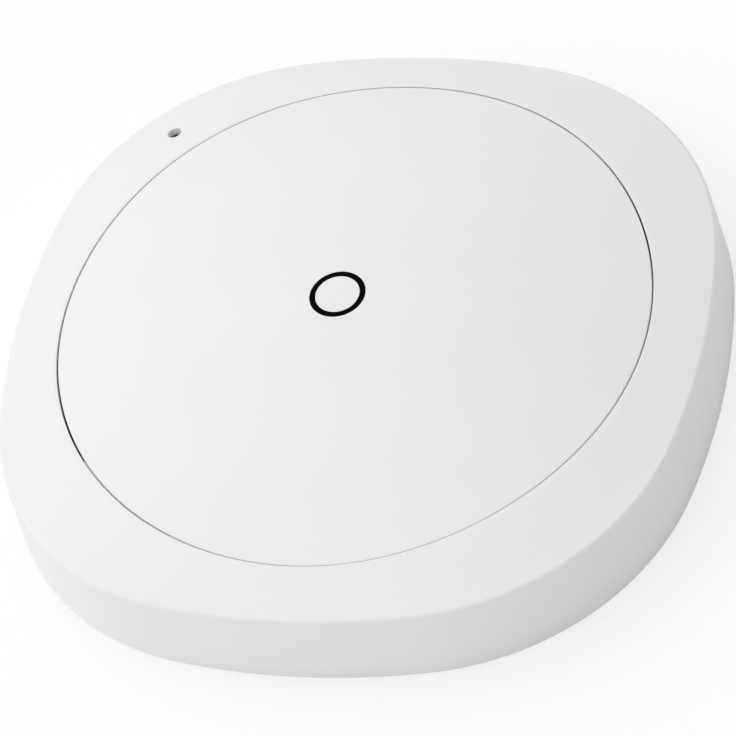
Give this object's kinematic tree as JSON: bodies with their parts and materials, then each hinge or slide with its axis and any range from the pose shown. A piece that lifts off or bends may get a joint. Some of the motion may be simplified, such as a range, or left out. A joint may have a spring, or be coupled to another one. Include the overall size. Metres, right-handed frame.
{
  "type": "smart button",
  "caption": "Flat pillow-shaped wireless smart button: rounded-square white housing, large round crowned push button with a ring mark, an indicator hole and a pull-off rear cover.",
  "frame": {"origin": "middle of the rear cover's back face, on the wall", "axes": "+Z out of the wall towards the user, +Y up on the wall, +X to the user's right"},
  "size_m": [0.07, 0.07, 0.0146],
  "materials": {
    "white_shell": "fine satin moulded",
    "black_mark": "satin",
    "clear_pipe": "smoked, moulded",
    "board_mask": "solder mask",
    "black_plastic": "moulded",
    "tinned_steel": "tinned sheet",
    "cell_steel": "polished can",
    "gold_plate": "plated",
    "led_resin": "cast",
    "capacitor_resin": "moulded",
    "ceramic": "fired"
  },
  "bodies": {
    "wall_plate": {"rear_cover": "white_shell"},
    "front_unit": {"front_housing": "white_shell", "light_pipe": "clear_pipe", "circuit_board": "board_mask", "board_screws": "tinned_steel", "switch_base": "black_plastic", "switch_terminals": "tinned_steel", "switch_dome": "gold_plate", "switch_frame": "tinned_steel", "battery_holder": "black_plastic", "positive_clip": "tinned_steel", "negative_contact": "tinned_steel", "coin_cell": "cell_steel", "reset_base": "black_plastic", "reset_frame": "tinned_steel", "radio_module": "board_mask", "radio_shield": "tinned_steel", "radio_antenna": "gold_plate", "status_led": "led_resin", "bulk_capacitor": "capacitor_resin", "chip_capacitors": "ceramic", "chip_resistors": "black_plastic", "test_pads": "gold_plate"},
    "button": {"button_cap": "white_shell", "ring_mark": "black_mark"},
    "press_stem": {"switch_plunger": "black_plastic"},
    "reset_stem": {"reset_plunger": "black_plastic"}
  },
  "joints": [
    {"name": "front_lift", "type": "slide", "parent": "wall_plate", "child": "front_unit", "axis": [0, 0, 1], "range_m": [0, 0.02]},
    {"name": "button_press", "type": "slide", "parent": "front_unit", "child": "button", "axis": [0, 0, -1], "range_m": [0, 0.0005], "stiffness_N_per_m": 2400, "springref_m": -0.0004},
    {"name": "stem_press", "type": "slide", "parent": "front_unit", "child": "press_stem", "axis": [0, 0, -1], "range_m": [0, 0.0005], "deforming": ["switch_dome"]},
    {"name": "reset_press", "type": "slide", "parent": "front_unit", "child": "reset_stem", "axis": [0, 0, 1], "range_m": [0, 0.00025], "stiffness_N_per_m": 2400, "springref_m": -0.0002}
  ],
  "couplings": [
    {"joint": "stem_press", "follows": "button_press", "ratio": 1}
  ]
}
